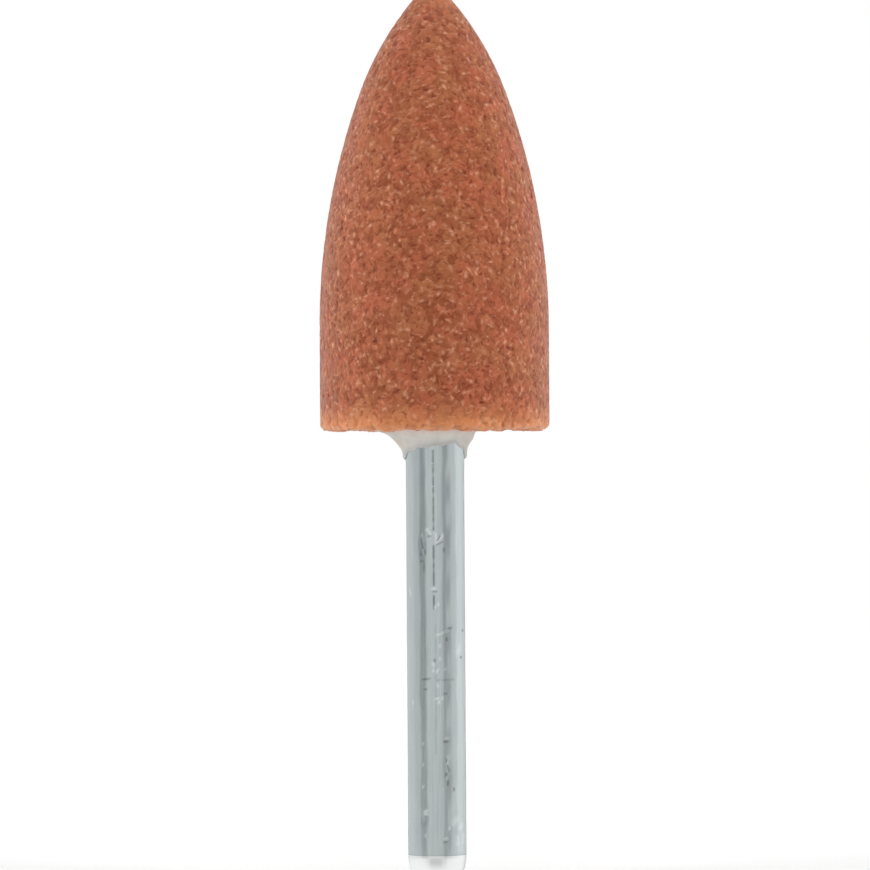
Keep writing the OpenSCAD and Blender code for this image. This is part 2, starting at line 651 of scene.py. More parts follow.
@dataclass(frozen=True)
class GroundSteel(Finish):
    """Steel ground bright on the lead, where the blank was cut off and rounded.

    Paler than the plating and a little less glossy, with fine grinding rings round it.
    """

    name: str = "bright_ground_steel"
    body: str = "#fafbfb"
    ring: str = "#e9ecec"
    roughness: float = 0.28
    # Grinding rings are finer than this, and are drawn as coarse as they need to show
    ring_pitch: float = 0.06
    ring_length: float = 1.2

    def shader(self, tree: bpy.types.NodeTree) -> bpy.types.Node:
        """Adds the ground steel's nodes.

        Args:
            tree: Tree of the steel's material.

        Returns:
            The steel's shader.
        """
        place = add_node(tree, "ShaderNodeTexCoord").outputs["Object"]
        drawn = self.ring_pitch / self.ring_length
        flat = add_node(tree, "ShaderNodeMapping", {"Vector": place, "Scale": (drawn, drawn, 1.0)})
        ring = add_node(
            tree, "ShaderNodeTexNoise",
            {"Vector": flat.outputs[0], "Scale": per_metre(self.ring_pitch), "Detail": 2.0},
        )
        colour = add_node(
            tree, "ShaderNodeMix",
            {"Factor": ring.outputs["Fac"], COLOUR_A: linear(self.body), COLOUR_B: linear(self.ring)},
            data_type="RGBA",
        )
        return add_node(
            tree, "ShaderNodeBsdfPrincipled",
            {"Base Color": colour.outputs[COLOUR_OUT], "Metallic": 1.0, "Roughness": self.roughness},
        )


@dataclass(frozen=True)
class StudioPaper(Finish):
    """Matt white paper on the floor, lifted to the backdrop's white where the camera sees it.

    The lift makes up for the lamps' fall-off, so it grows outwards and leaves the part's shadow in the
    middle.
    """

    # Distance from the part at which the lift is at its highest
    reach: float
    name: str = "matt_white_paper"
    body: str = "#f4f4f4"
    near_lift: float = 0.16
    far_lift: float = 0.56

    def shader(self, tree: bpy.types.NodeTree) -> bpy.types.Node:
        """Adds the paper's nodes.

        Args:
            tree: Tree of the paper's material.

        Returns:
            The paper's shader.
        """
        seen = add_node(tree, "ShaderNodeLightPath").outputs["Is Camera Ray"]
        place = add_node(tree, "ShaderNodeTexCoord").outputs["Object"]
        away = add_node(tree, "ShaderNodeVectorMath", {0: place}, operation="LENGTH")
        lift = add_node(
            tree, "ShaderNodeMapRange",
            {"Value": away.outputs["Value"], "From Max": self.reach * MM, "To Min": self.near_lift,
             "To Max": self.far_lift},
        )
        strength = add_node(tree, "ShaderNodeMath", {0: lift.outputs[0], 1: seen}, operation="MULTIPLY")
        glow = add_node(tree, "ShaderNodeEmission", {"Strength": strength.outputs[0]})
        paper = add_node(tree, "ShaderNodeBsdfDiffuse", {"Color": linear(self.body)})
        return add_node(tree, "ShaderNodeAddShader", {0: paper.outputs[0], 1: glow.outputs[0]})


@dataclass(frozen=True)
class CardGrey(Finish):
    """Evenly lit grey card, which only shows in the metal."""

    name: str = "grey_card"
    level: float = 0.5

    def shader(self, tree: bpy.types.NodeTree) -> bpy.types.Node:
        """Adds the card's even light."""
        return add_node(tree, "ShaderNodeEmission", {"Strength": self.level})


@dataclass(frozen=True)
class Grit:
    """Crushed grains in the head's skin, about 60 grit.

    Attributes:
        width: Usual distance from one grain to the next.
        stray: Share of that distance by which a grain lies off its even place.
        spread: Least and greatest half width of a grain.
        edge_stray: Usual turn of a grain's edge from its even direction, in radians.
        sunk: Usual depth of a grain's top below the skin.
        tilt: Usual slope of a grain's top.
        torn: Share of grains that are torn out.
        torn_depth: Least and greatest depth of a torn place.
        crumbled: Share of grains that are torn out along the edge of the base.
        crumbled_reach: Distance from that edge within which they are.
        side: Drop beside a grain, over one more half width.
        floor: Depth of the deepest pore.
        beside: Number of grains that may reach a point.
        proud: Share of grains that stand out of the base, which isn't dressed.
        proud_height: Least and greatest height of those.
        glint_rarity: How few grains get a full painted glint. The higher it is, the fewer do.
        glint_length: Least and greatest half length of a fracture face whose glint is painted into the
            colour.
        glint_width: Least and greatest half width of such a face.
    """

    width: float = 0.29
    stray: float = 0.42
    spread: Point = (0.1, 0.19)
    edge_stray: float = 0.2
    sunk: float = 0.016
    tilt: float = 0.17
    torn: float = 0.1
    torn_depth: Point = (0.04, 0.1)
    crumbled: float = 0.42
    crumbled_reach: float = 0.5
    side: float = 0.1
    floor: float = 0.15
    beside: int = 8
    proud: float = 0.035
    proud_height: Point = (0.04, 0.14)
    glint_rarity: int = 5
    glint_length: Point = (0.06, 0.19)
    glint_width: Point = (0.04, 0.09)


@dataclass
class AbrasiveHead:
    """The stone: a straight land, an arched flank, a tighter nose, a blunted tip and a bore in its base."""

    land_len: float = 5.5
    nose_d: float = 8.0
    nose_len: float = 5.4
    tip_d: float = 1.6
    tip_round: float = 0.6
    base_round: float = 0.3
    bore_r: float = 1.9
    bore_len: float = 12.6
    # Distance between the skin's points, and the share of it by which they stray
    skin_step: float = 0.106
    skin_stray: float = 0.25
    least_columns: int = 6
    bore_step: float = 1.2
    bore_columns: int = 48
    # Height above the base over which the edge is painted pale, partly as wear and partly as light from
    # below, and how fast that fades
    rim_height: float = 1.7
    rim_fade: float = 1.8
    # Distances in from the wall at which the base has none of that paling, and all of it
    rim_inset: Point = (1.6, 0.6)
    # Share of it that all grains have alike, while the rest goes by the grain's tint
    rim_evenness: float = 0.6
    # How much of it the tip has, painted as light from above, and the distances below the tip at which it
    # starts and is full
    tip_painted_light: float = 0.2
    tip_reach: Point = (1.2, 0.2)
    grit: Grit = field(default_factory=Grit)
    finish: VitrifiedAluminiumOxide = field(default_factory=VitrifiedAluminiumOxide)

    def __post_init__(self) -> None:
        """Takes the head's place and outer sizes from the frame."""
        low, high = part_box("abrasive_head")
        self.base_z = low.z / MM
        self.tip_z = high.z / MM
        self.head_r = high.x / MM

    def outer_section(self, step: float) -> np.ndarray:
        """Follows the outside from the tip to the bore's rim.

        Args:
            step: Longest distance between points.

        Returns:
            Rows of radius and height.
        """
        land_z, nose_z = self.base_z + self.land_len, self.tip_z - self.nose_len
        flank_h, flank_in = nose_z - land_z, self.head_r - self.nose_d / 2
        flank_r = (flank_h ** 2 + flank_in ** 2) / (2 * flank_in)
        lean = math.asin(flank_h / flank_r)
        nose_in = (self.nose_d - self.tip_d) / 2
        nose_r = (nose_in ** 2 + self.nose_len ** 2) / (
            2 * (nose_in * math.cos(lean) - self.nose_len * math.sin(lean))
        )
        nose_c = (self.nose_d / 2 - nose_r * math.cos(lean), nose_z - nose_r * math.sin(lean))
        tip_c_z = self.tip_z - self.tip_round
        blunt = math.asin((tip_c_z - nose_c[1]) / (nose_r - self.tip_round))
        flat_r = nose_c[0] + (nose_r - self.tip_round) * math.cos(blunt)
        edge = self.head_r - self.base_round
        steep, leaning = math.degrees(blunt), math.degrees(lean)
        return np.vstack([
            run((0, self.tip_z), (flat_r, self.tip_z), step),
            bend((flat_r, tip_c_z), self.tip_round, 90, steep, step),
            bend(nose_c, nose_r, steep, leaning, step),
            bend((self.head_r - flank_r, land_z), flank_r, leaning, 0, step),
            run((self.head_r, land_z), (self.head_r, self.base_z + self.base_round), step),
            bend((edge, self.base_z + self.base_round), self.base_round, 0, -90, step),
            run((edge, self.base_z), (self.bore_r, self.base_z), step),
        ])

    def bore_section(self) -> np.ndarray:
        """Follows the bore from its rim to near the axis.

        Returns:
            Rows of radius and height.
        """
        end_z = self.base_z + self.bore_len
        wall = run((self.bore_r, self.base_z), (self.bore_r, end_z), self.bore_step)
        return np.vstack([wall, run((self.bore_r, end_z), (self.bore_r / 2, end_z), self.bore_step)])

    def rings(self, step: float, jitter: float, rng: np.random.Generator) -> list[Ring]:
        """Turns the outside into rings whose points are about one step apart.

        Args:
            step: Distance between points.
            jitter: Share of a step by which points stray.
            rng: Source of the jitter.

        Returns:
            Rings from the tip to the bore's rim.
        """
        between = step * math.sqrt(3) / 2
        section = self.outer_section(between)
        columns = np.maximum(self.least_columns, np.round(2 * math.pi * section[:, 0] / step)).astype(int)
        return turned_rings(section, columns, rng, jitter, between)

    def nearest_grains(self, places: np.ndarray, grains: np.ndarray) -> np.ndarray:
        """Finds the grains beside each point of the skin.

        Args:
            places: Points of the skin.
            grains: Middles of the grains.

        Returns:
            For each point, the indices of its nearest grains.
        """
        tree = KDTree(len(grains))
        for index, grain in enumerate(grains):
            tree.insert(grain, index)
        tree.balance()
        return np.array([[found[1] for found in tree.find_n(place, self.grit.beside)] for place in places])

    def relief(self, skin: TurnedSkin, rng: np.random.Generator) -> tuple[np.ndarray, np.ndarray, np.ndarray]:
        """Works out how the grains stand in the skin.

        Each grain is a tilted flat with steep sides and six edges. The skin follows whichever grain stands
        highest, and rises above the head's own form only on the base.

        Args:
            skin: The head's skin, still smooth.
            rng: Source of the grains' places and shapes.

        Returns:
            Each point's height, a tint between 0 and 1 from the grain that it lies on, and how much painted
            glint it has.
        """
        grit = self.grit
        bed = TurnedSkin(self.rings(grit.width, grit.stray, rng), self.tip_z, self.base_z)
        middles, outward = bed.places(), bed.outward()
        round_way = np.column_stack([np.cos(bed.angle), np.sin(bed.angle), np.zeros(len(bed.angle))])
        down_way = np.cross(round_way, outward)
        count = len(middles)
        top = -np.abs(rng.normal(0, grit.sunk, count))
        from_edge = np.hypot(bed.radius - self.head_r, bed.height - self.base_z)
        torn = rng.random(count) < np.where(from_edge < grit.crumbled_reach, grit.crumbled, grit.torn)
        top[torn] -= rng.uniform(*grit.torn_depth, torn.sum())
        proud = (outward[:, 2] < FACES_DOWN) & (rng.random(count) < grit.proud)
        top[proud] = rng.uniform(*grit.proud_height, proud.sum())
        tilt = rng.normal(0, grit.tilt, (count, 2))
        edges = rng.uniform(0, math.pi / 3, (count, 1)) + np.arange(3) * (math.pi / 3)
        edges += rng.normal(0, grit.edge_stray, (count, 3))
        half = rng.uniform(*grit.spread, (count, 3))
        tints = rng.random(count)
        glinting = rng.random(count) ** grit.glint_rarity
        facing = rng.uniform(0, math.pi, count)
        long, wide = rng.uniform(*grit.glint_length, count), rng.uniform(*grit.glint_width, count)

        places = skin.places()
        near = self.nearest_grains(places, middles)
        away = places[:, None, :] - middles[near]
        across = np.einsum("pgk,pgk->pg", away, round_way[near])
        down = np.einsum("pgk,pgk->pg", away, down_way[near])
        reach = np.abs(across[..., None] * np.cos(edges[near]) + down[..., None] * np.sin(edges[near]))
        beyond = np.maximum(0, (reach / half[near]).max(axis=2) - 1)
        stand = top[near] + tilt[near, 0] * across + tilt[near, 1] * down - grit.side * beyond
        highest = stand.argmax(axis=1)
        rows = np.arange(len(places))
        along = across * np.cos(facing[near]) + down * np.sin(facing[near])
        beside = down * np.cos(facing[near]) - across * np.sin(facing[near])
        glint = glinting[near] * np.exp(-((along / long[near]) ** 2 + (beside / wide[near]) ** 2))
        ceiling = np.where(skin.out[:, 1] < FACES_DOWN, grit.proud_height[1], 0)
        height = np.clip(stand[rows, highest], -grit.floor, ceiling)
        return height, tints[near[rows, highest]], glint.max(axis=1)

    def pale_wear_and_light(self, skin: TurnedSkin, relief: np.ndarray) -> np.ndarray:
        """Works out where the stone is painted paler, partly as wear and partly as painted light.

        Its base edge is paler as wear and as light from below, the grains that stand out of the base as light
        on their shaded undersides, and its tip as light from above.

        Args:
            skin: The head's outside, still smooth.
            relief: Height of each of its points.

        Returns:
            Each point's paling, part wear and part painted light.
        """
        inner, outer = (self.head_r - inset for inset in self.rim_inset)
        lower, upper = (self.tip_z - reach for reach in self.tip_reach)
        paling = np.clip(1 - (skin.height - self.base_z) / self.rim_height, 0, 1) ** self.rim_fade
        paling *= smooth_step(inner, outer, skin.radius)
        paling = np.maximum(paling, smooth_step(0.0, self.grit.proud_height[0], relief))
        return paling + self.tip_painted_light * smooth_step(lower, upper, skin.height)

    def build(self) -> bpy.types.Object:
        """Builds the head.

        Returns:
            The head's object.
        """
        rng = np.random.default_rng(SEED)
        outer = self.rings(self.skin_step, self.skin_stray, rng)
        outer_skin = TurnedSkin(outer, self.tip_z, self.base_z)
        relief, tint, glint = self.relief(outer_skin, rng)
        bore = self.bore_section()
        bore_rings = turned_rings(bore, np.full(len(bore), self.bore_columns), rng)
        skin = TurnedSkin(outer + bore_rings, self.tip_z, self.base_z + self.bore_len)
        spare = np.zeros(len(skin.angle) - len(relief))
        skin.raise_by(np.r_[relief, spare])
        skin.height = np.minimum(skin.height, self.tip_z)
        # The base edge, the proud grains and the tip are painted paler, partly as wear and partly as light
        rim = self.pale_wear_and_light(outer_skin, relief) * (self.rim_evenness + (1 - self.rim_evenness) * tint)
        shades = {
            Shade.TINT.value: np.r_[tint, spare],
            Shade.PORE.value: np.r_[-relief / self.grit.floor, spare],
            Shade.GLINT.value: np.r_[glint, spare],
            Shade.PALE_WEAR_AND_LIGHT.value: np.r_[rim, spare],
        }
        return skin.make("abrasive_head_stone", False, shades)

    def dress(self, piece: bpy.types.Object) -> None:
        """Gives the head its finish and its place in the frame."""
        piece.data.materials.append(self.finish.material())
        settle(piece, "abrasive_head")


@dataclass(frozen=True)
class MarkForm:
    """Cross section of a kind of mark.

    Attributes:
        wide: Half its width.
        deep: Its depth.
        dark: How dark it is, or below zero how bright, as a painted highlight.
    """

    wide: float
    deep: float
    dark: float


class MarkKind(Enum):
    """Kinds of mark that handling and drawing leave on the shank."""

    # Nicks and scuffs are painted bright, as a highlight where they catch the light
    NICK = MarkForm(0.06, 0.004, -0.6)
    SPECK = MarkForm(0.06, 0.003, 0.65)
    SCRATCH = MarkForm(0.05, 0.003, 0.5)
    DIE_LINE = MarkForm(0.048, 0.002, 0.9)
    DENT = MarkForm(0.22, 0.014, 0.0)
    SCUFF = MarkForm(0.2, 0.0, -0.4)


@dataclass(frozen=True)
class Mark:
    """A mark on the shank.

    Attributes:
        kind: What the mark is.
        angle: Where its middle is round the shank, in degrees.
        up: Height of its middle above the free end.
        long: Its length.
        lean: How far it leans from upright, clockwise, in degrees.
        share: How strong it is, against its kind.
    """

    kind: MarkKind
    angle: float
    up: float
    long: float = 0.1
    lean: float = 0.0
    share: float = 1.0


@dataclass(frozen=True)
class StrayMarks:
    """Marks strewn over the side of the shank that faces away from the camera.

    Attributes:
        count: How many there are.
        kinds: Kinds that they may be.
        angle: Least and greatest angle of a mark, in degrees.
        rows: Heights round which they lie.
        row_spread: Usual distance of a mark from its row.
        long: Least and greatest length of a mark.
        lean: Least and greatest lean of a mark, in degrees.
        share: Least and greatest strength of a mark, against its kind.
    """

    count: int = 40
    kinds: tuple[MarkKind, ...] = (MarkKind.NICK, MarkKind.SPECK, MarkKind.SCRATCH)
    angle: Point = (75.0, 285.0)
    rows: tuple[float, ...] = (18.3, 12.0, 6.3)
    row_spread: float = 1.2
    long: Point = (0.02, 0.2)
    lean: Point = (-90.0, 90.0)
    share: Point = (0.2, 0.8)

    def strew(self, rng: np.random.Generator) -> list[Mark]:
        """Strews the marks.

        Args:
            rng: Source of their kinds, places and sizes.

        Returns:
            The marks.
        """
        return [
            Mark(
                self.kinds[rng.integers(len(self.kinds))],
                rng.uniform(*self.angle),
                rng.normal(self.rows[rng.integers(len(self.rows))], self.row_spread),
                rng.uniform(*self.long),
                rng.uniform(*self.lean),
                rng.uniform(*self.share),
            )
            for _ in range(self.count)
        ]


@dataclass
class Spindle:
    """The steel spindle: a plain plated shank with a rounded lead, and a keyed end inside the head."""

    lead_len: float = 1.3
    lead_in: float = 0.4
    lead_round: float = 3.0
    # Grinding runs on past the lead to this height, where a faint dark line is painted as the shade at that
    # edge
    ground_len: float = 1.41
    edge_painted_shade: float = 0.25
    shoulder_width: float = 0.05
    seat_len: float = 12.0
    end_chamfer: float = 0.4
    key_pitch: float = 2.0
    key_w: float = 0.8
    key_depth: float = 0.25
    # Height of the lowest groove above the head's base
    key_rise: float = 0.65
    wall_step: float = 0.066
    wall_columns: int = 200
    keyed_columns: int = 48
    # Drawing leaves the bar some hundredths of a millimetre out of round, in waves that sway along it, and
    # this makes the reflections wander
    wander: float = 0.016
    waves: tuple[int, ...] = (5, 8, 13, 21)
    # How far each wave sways, in radians, and how fast, in radians per millimetre
    sways: tuple[Point, ...] = ((0.6, 0.9), (0.5, 2.3))
    # The bar stays true under the cement: its waves start, and are full, at these lengths below the head
    wander_from: Point = (1.4, 2.6)
    # How far a mark fades in places along its length, and how fast, in radians per millimetre
    mark_fade: float = 0.6
    fade_rates: Point = (2.3, 5.9)
    stray: StrayMarks = field(default_factory=StrayMarks)
    marks: tuple[Mark, ...] = (
        # Lines from the drawing die
        Mark(MarkKind.DIE_LINE, -4, 21.3, 4.3, 0, 0.85),
        Mark(MarkKind.DIE_LINE, -1, 10.5, 7.0, 0, 0.2),
        Mark(MarkKind.DIE_LINE, -4, 17.2, 2.1),
        Mark(MarkKind.DIE_LINE, -4, 15.2, 0.7),
        # Dents where marks crowd
        Mark(MarkKind.DENT, -27, 18.2, 0.5),
        Mark(MarkKind.DENT, 8, 18.6, 0.3),
        Mark(MarkKind.DENT, 20, 6.2, 0.7),
        Mark(MarkKind.DENT, -24, 3.5, 0.3),
        # Marks near the head
        Mark(MarkKind.NICK, -4, 22.75, 0.03),
        Mark(MarkKind.NICK, -4, 21.5, 0.03),
        Mark(MarkKind.NICK, -17, 19.15, 0.15, 60),
        Mark(MarkKind.NICK, -12, 19.0, 0.2, -40),
        Mark(MarkKind.SCRATCH, -13, 18.8, 0.2, 80),
        Mark(MarkKind.NICK, 1, 18.8, 0.35, -5),
        Mark(MarkKind.SCRATCH, 6, 18.65, 0.3, 32),
        Mark(MarkKind.NICK, 11, 18.75, 0.25, 35),
        Mark(MarkKind.SCRATCH, 8, 18.4, 0.4, 65),
        Mark(MarkKind.NICK, 3, 18.5, 0.15, 60),
        Mark(MarkKind.SCRATCH, 17, 18.05, 0.15),
        Mark(MarkKind.NICK, -28, 18.85),
        Mark(MarkKind.SCRATCH, -29, 18.55, 0.25, -10),
        Mark(MarkKind.SCRATCH, -27, 18.25, 0.25, -10),
        Mark(MarkKind.SCRATCH, -29, 17.9, 0.25, 20),
        Mark(MarkKind.SCRATCH, -22, 17.95, 0.2, -25),
        Mark(MarkKind.NICK, -26, 17.95, 0.15),
        Mark(MarkKind.SCRATCH, -28, 17.45, 0.2, 88),
        Mark(MarkKind.SCRATCH, -24, 17.15, 0.45),
        # Marks round the middle
        Mark(MarkKind.NICK, -4, 15.95, 0.2, 88),
        Mark(MarkKind.SCRATCH, -2, 15.8, 0.2, 88),
        Mark(MarkKind.NICK, -64, 15.75, 0.35, -25),
        Mark(MarkKind.NICK, 4, 15.1),
        Mark(MarkKind.NICK, -2, 14.95),
        Mark(MarkKind.SPECK, 28, 13.8, 0.2, 80),
        Mark(MarkKind.NICK, 14, 13.55, 0.65, 72),
        Mark(MarkKind.SPECK, 66, 13.65, 0.2, 90),
        Mark(MarkKind.SPECK, 21, 13.2),
        Mark(MarkKind.NICK, 7, 12.85, 0.15),
        Mark(MarkKind.SPECK, 58, 12.2, 0.15, 90),
        Mark(MarkKind.NICK, 7, 12.15),
        Mark(MarkKind.SPECK, -3, 12.05),
        Mark(MarkKind.NICK, -6, 11.85, 0.15),
        Mark(MarkKind.NICK, 18, 11.55, 0.15, 80),
        Mark(MarkKind.NICK, 2, 11.5, 0.2, 20),
        Mark(MarkKind.NICK, -6, 11.5),
        Mark(MarkKind.SPECK, -21, 11.05, 0.45, 86),
        Mark(MarkKind.SCRATCH, 18, 11.0, 1.0, 88, 0.6),
        Mark(MarkKind.NICK, 3, 10.7),
        Mark(MarkKind.SCRATCH, -22, 10.5, 0.15, 88),
        Mark(MarkKind.SCRATCH, 18, 10.25, 0.15, 80),
        Mark(MarkKind.NICK, 2, 10.0, 0.2, 80),
        Mark(MarkKind.NICK, 11, 10.0),
        Mark(MarkKind.NICK, 5, 9.8),
        Mark(MarkKind.NICK, -55, 9.75),
        # Marks near the free end
        Mark(MarkKind.NICK, 21, 7.8, 0.25, 85),
        Mark(MarkKind.SPECK, 18, 7.65, 0.2, 88),
        Mark(MarkKind.NICK, -29, 7.5, 0.12, 30),
        Mark(MarkKind.SCRATCH, 19, 6.65, 0.3, -15),
        Mark(MarkKind.NICK, 23, 6.5),
        Mark(MarkKind.NICK, -29, 6.35, 0.12, 30),
        Mark(MarkKind.SCRATCH, 23, 6.2, 0.3, -20),
        Mark(MarkKind.SPECK, 18, 5.85),
        Mark(MarkKind.NICK, 20, 5.65),
        Mark(MarkKind.SPECK, 22, 5.4, 0.2),
        Mark(MarkKind.NICK, -29, 5.15, 0.12, 30),
        Mark(MarkKind.SPECK, 35, 5.05),
        Mark(MarkKind.NICK, -22, 3.85, 0.2, 75),
        Mark(MarkKind.NICK, -22, 3.7, 0.15, -80),
        Mark(MarkKind.NICK, 26, 2.9),
        Mark(MarkKind.NICK, -24, 2.5),
        Mark(MarkKind.NICK, 17, 2.35, 0.2, 85),
        Mark(MarkKind.SCRATCH, 16, 2.2, 0.2, 88),
        # Scuffs on the right, painted pale as a highlight
        Mark(MarkKind.SCUFF, 50, 12.6, 0.3, 30, 0.6),
        Mark(MarkKind.SCUFF, 38, 3.3, 0.3, 40),
        Mark(MarkKind.SCUFF, 54, 3.0, 0.2, 60, 0.8),
        Mark(MarkKind.SCUFF, 44, 2.1, 0.5, 0, 0.8),
        Mark(MarkKind.SCUFF, 62, 2.2, 0.6, 10, 0.8),
    )
    plated: ZincPlatedDrawnSteel = field(default_factory=ZincPlatedDrawnSteel)
    ground: GroundSteel = field(default_factory=GroundSteel)

    def __post_init__(self) -> None:
        """Takes the spindle's place and outer sizes from the frame."""
        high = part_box("spindle")[1]
        self.end_z = high.z / MM
        self.shank_r = high.x / MM
        self.base_z = self.end_z - self.seat_len

    def keyed_section(self) -> np.ndarray:
        """Follows the end inside the head, from its end face down past its grooves.

        Returns:
            Rows of radius and height.
        """
        rim = self.shank_r - self.end_chamfer
        points = [(rim / 2, self.end_z), (rim, self.end_z), (self.shank_r, self.end_z - self.end_chamfer)]
        grooves = int((self.seat_len - self.key_rise - self.end_chamfer - self.key_w) / self.key_pitch)
        for groove in range(grooves, -1, -1):
            z = self.base_z + self.key_rise + groove * self.key_pitch
            points.append((self.shank_r, z + self.key_w))
            points.append((self.shank_r - self.key_depth, z + self.key_w / 2))
            points.append((self.shank_r, z))
        return np.array(points)

    def shown_section(self) -> np.ndarray:
        """Follows the shank and its lead down to the free end's face.

        Returns:
            Rows of radius and height.
        """
        chord = math.hypot(self.lead_in, self.lead_len)
        rise = math.sqrt(self.lead_round ** 2 - (chord / 2) ** 2) / chord
        centre = (
            self.shank_r - self.lead_in / 2 - rise * self.lead_len, self.lead_len / 2 + rise * self.lead_in
        )
        rim = self.shank_r - self.lead_in
        first = math.degrees(math.atan2(self.lead_len - centre[1], self.shank_r - centre[0]))
        last = math.degrees(math.atan2(-centre[1], rim - centre[0]))
        return np.vstack([
            run((self.shank_r, self.base_z), (self.shank_r, self.lead_len), self.wall_step),
            bend(centre, self.lead_round, first, last, self.wall_step),
            run((rim, 0), (rim / 4, 0), self.wall_step * 2),
        ])

    def wear(self, skin: TurnedSkin, rng: np.random.Generator) -> tuple[np.ndarray, np.ndarray]:
        """Works out the shank's small unevenness, its marks, and a line of painted shade where the grinding
        ends.

        Args:
            skin: The spindle's skin, still true.
            rng: Source of the unevenness and of the stray marks.

        Returns:
            Each point's height, zero or below, and how dark a mark or the painted shade line makes it, or
            below zero how bright a painted highlight makes it.
        """
        relief = np.zeros(len(skin.angle))
        for waves in self.waves:
            start, *drifts = rng.uniform(0, 2 * math.pi, 1 + len(self.sways))
            turn = waves * skin.angle + start
            for (far, fast), drift in zip(self.sways, drifts):
                turn += far * np.sin(skin.height * fast + drift)
            relief += self.wander * self.waves[0] / waves * (np.cos(turn) - 1) / 2
        relief *= smooth_step(*self.wander_from, self.base_z - skin.height)
        # Marks darken the plating, and nicks and scuffs brighten it as a painted highlight
        dark = np.zeros(len(skin.angle))
        slow, fast = self.fade_rates
        for mark in (*self.marks, *self.stray.strew(rng)):
            form = mark.kind.value
            turn = (skin.angle - math.radians(mark.angle) + math.pi) % (2 * math.pi) - math.pi
            lean = math.radians(mark.lean)
            round_way, up = turn * self.shank_r, skin.height - mark.up
            along = up * math.cos(lean) + round_way * math.sin(lean)
            off = round_way * math.cos(lean) - up * math.sin(lean)
            past = np.maximum(0, np.abs(along) - mark.long / 2)
            here = np.exp(-((off ** 2 + past ** 2) / form.wide ** 2))
            here *= 1 - self.mark_fade * (np.sin(slow * along + mark.up) * np.sin(fast * along)) ** 2
            relief -= form.deep * mark.share * here
            shade = form.dark * mark.share * here
            dark = np.where(np.abs(dark) > np.abs(shade), dark, shade)
        shown = skin.height < self.base_z
        # A faint dark line of painted shade where the grinding ends
        past = (skin.height - self.ground_len) / self.shoulder_width
        shoulder = self.edge_painted_shade * np.exp(-(past ** 2))
        dark = np.where(np.abs(dark) > shoulder, dark, shoulder)
        return np.where(shown, relief, 0), np.where(shown, dark, 0)

    def build(self) -> bpy.types.Object:
        """Builds the spindle.

        Returns:
            The spindle's object.
        """
        rng = np.random.default_rng(SEED + 1)
        keyed, shown = self.keyed_section(), self.shown_section()
        rings = turned_rings(keyed, np.full(len(keyed), self.keyed_columns), rng)
        rings += turned_rings(shown, np.full(len(shown), self.wall_columns), rng)
        skin = TurnedSkin(rings, self.end_z, 0)
        relief, dark = self.wear(skin, rng)
        skin.raise_by(relief)
        return skin.make("spindle_steel", True, {Shade.MARK.value: dark})

    def dress(self, piece: bpy.types.Object) -> None:
        """Gives the shank its plating, the lead its ground finish, and the spindle its place in the frame.

        Args:
            piece: The spindle's object.
        """
        piece.data.materials.append(self.plated.material())
        piece.data.materials.append(self.ground.material())
        for face in piece.data.polygons:
            face.material_index = int(face.center.z < self.ground_len * MM)
        settle(piece, "spindle")


@dataclass(frozen=True)
class Station:
    """What the cement does at one angle.

    Attributes:
        angle: The angle, in degrees.
        drop: How far below the head it reaches.
        body: Thickness of its body at the head, past the film.
        film: Thickness of its film at the lip.
        skirt: Distance from the axis to which it spreads along the base.
    """

    angle: float
    drop: float
    body: float
    film: float
    skirt: float


